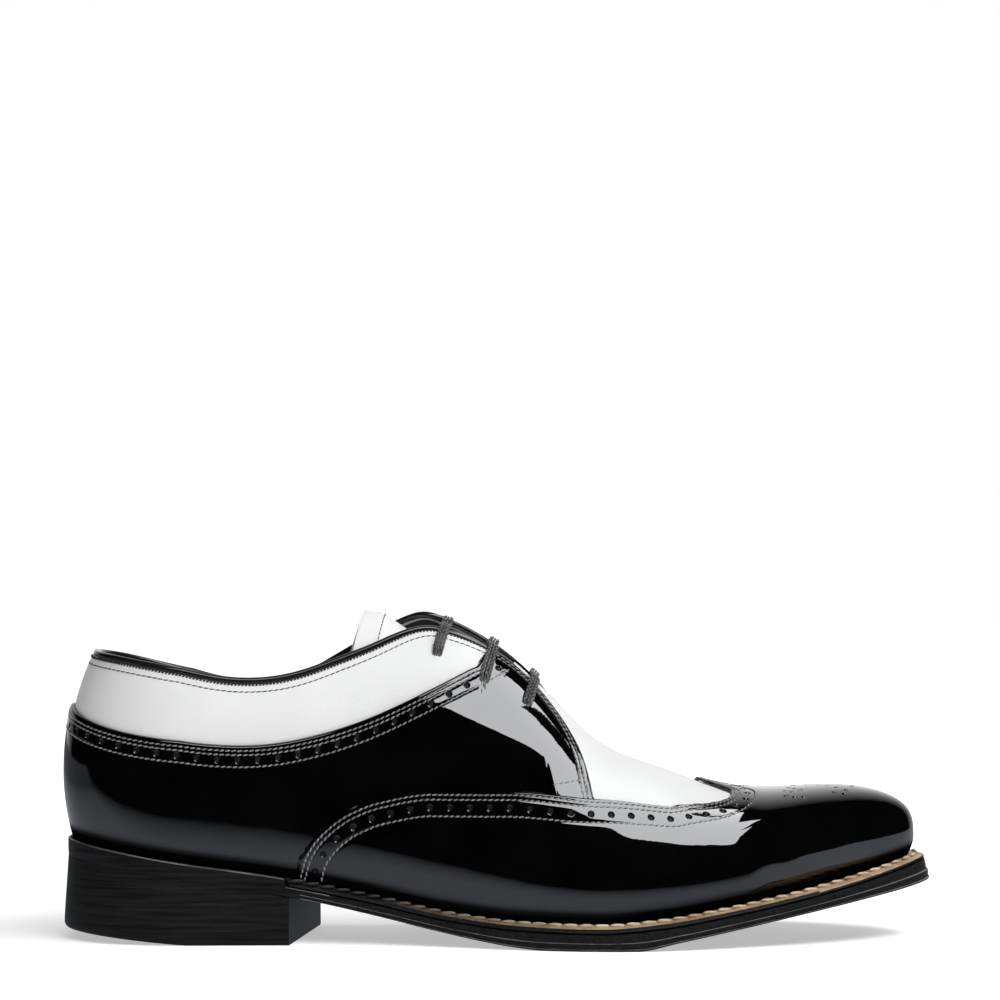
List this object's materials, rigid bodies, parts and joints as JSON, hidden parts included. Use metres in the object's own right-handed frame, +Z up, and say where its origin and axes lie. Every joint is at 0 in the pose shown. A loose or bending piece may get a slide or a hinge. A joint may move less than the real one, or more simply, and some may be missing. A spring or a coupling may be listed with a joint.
{
  "type": "wing-tip lace-up dress shoe",
  "caption": "Two-tone right lace-up dress shoe with wing cap, open quarters over a white vamp, welted leather sole and stacked heel, hollow for the foot.",
  "frame": {"origin": "centre of the shoe's plan box, on the floor", "axes": "+X towards the toe, -Y the outer side of the foot, +Z up"},
  "size_m": [0.3011, 0.1022, 0.1125],
  "materials": {
    "sole_edge": "satin black edge",
    "welt": "tan, stitched",
    "heel": "satin black stack",
    "insole": "plain tan",
    "white_leather": "smooth white",
    "black_patent": "mirror-gloss black patent",
    "tongue": "smooth white",
    "binding": "soft black",
    "lace": "woven black cord"
  },
  "bodies": {
    "root": {"outsole": "sole_edge", "welt": "welt", "heel": "heel", "insole": "insole", "upper": "white_leather", "quarter": "black_patent", "wing_cap": "black_patent", "tongue": "tongue", "collar_binding": "binding", "lace_bar_1": "lace", "lace_bar_2": "lace", "lace_bar_3": "lace"}
  },
  "joints": []
}
